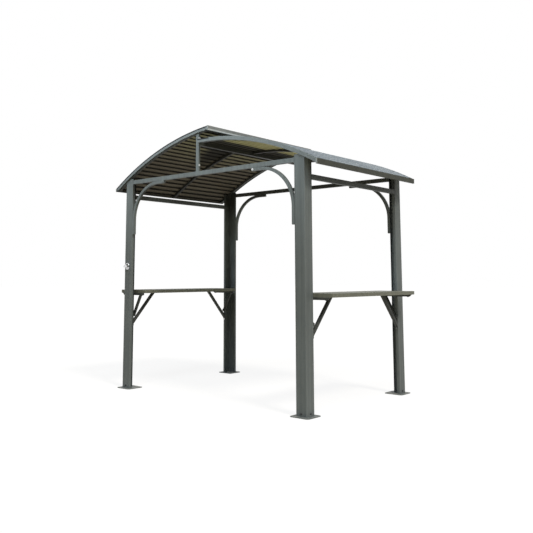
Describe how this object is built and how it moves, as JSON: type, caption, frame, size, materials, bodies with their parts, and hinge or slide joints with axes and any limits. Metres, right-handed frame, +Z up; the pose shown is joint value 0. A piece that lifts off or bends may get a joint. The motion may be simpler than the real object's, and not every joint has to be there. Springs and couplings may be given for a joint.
{
  "type": "grill gazebo",
  "caption": "Freestanding steel grill gazebo with angle posts, a two-tier arched ribbed roof with a vent gap, curved corner braces and a tray shelf on each side.",
  "frame": {"origin": "on the ground, midway between the four posts", "axes": "+X from the high roof tier's eave to the low tier's eave, +Y from front to back, +Z up"},
  "size_m": [2.51, 1.568, 2.3594],
  "materials": {
    "frame_paint": "satin charcoal powder coat",
    "roof_paint": "satin grey coil-coated ribbed sheet",
    "trim_paint": "satin grey coated folded strip",
    "shelf_paint": "satin grey-olive powder coat",
    "chrome": "polished cast metal"
  },
  "bodies": {
    "root": {"front_left_post": "frame_paint", "front_left_foot": "frame_paint", "front_left_brace": "frame_paint", "front_left_shelf_bracket": "frame_paint", "front_left_shelf_strut": "frame_paint", "front_right_post": "frame_paint", "front_right_foot": "frame_paint", "front_right_brace": "frame_paint", "front_right_shelf_bracket": "frame_paint", "front_right_shelf_strut": "frame_paint", "back_left_post": "frame_paint", "back_left_foot": "frame_paint", "back_left_brace": "frame_paint", "back_left_shelf_bracket": "frame_paint", "back_left_shelf_strut": "frame_paint", "back_right_post": "frame_paint", "back_right_foot": "frame_paint", "back_right_brace": "frame_paint", "back_right_shelf_bracket": "frame_paint", "back_right_shelf_strut": "frame_paint", "front_tie_beam": "frame_paint", "back_tie_beam": "frame_paint", "front_king_post": "frame_paint", "back_king_post": "frame_paint", "left_side_beam": "frame_paint", "right_side_beam": "frame_paint", "ridge_purlin": "frame_paint", "middle_king_stub": "frame_paint", "upper_front_rafter": "frame_paint", "upper_middle_rafter": "frame_paint", "upper_back_rafter": "frame_paint", "upper_front_roof_sheet": "roof_paint", "upper_back_roof_sheet": "roof_paint", "lower_front_rafter": "frame_paint", "lower_middle_rafter": "frame_paint", "lower_back_rafter": "frame_paint", "lower_front_roof_sheet": "roof_paint", "lower_back_roof_sheet": "roof_paint", "left_eave_trim": "trim_paint", "right_eave_trim": "trim_paint", "upper_edge_trim": "trim_paint", "left_shelf": "shelf_paint", "right_shelf": "shelf_paint", "bottle_opener": "chrome"}
  },
  "joints": []
}
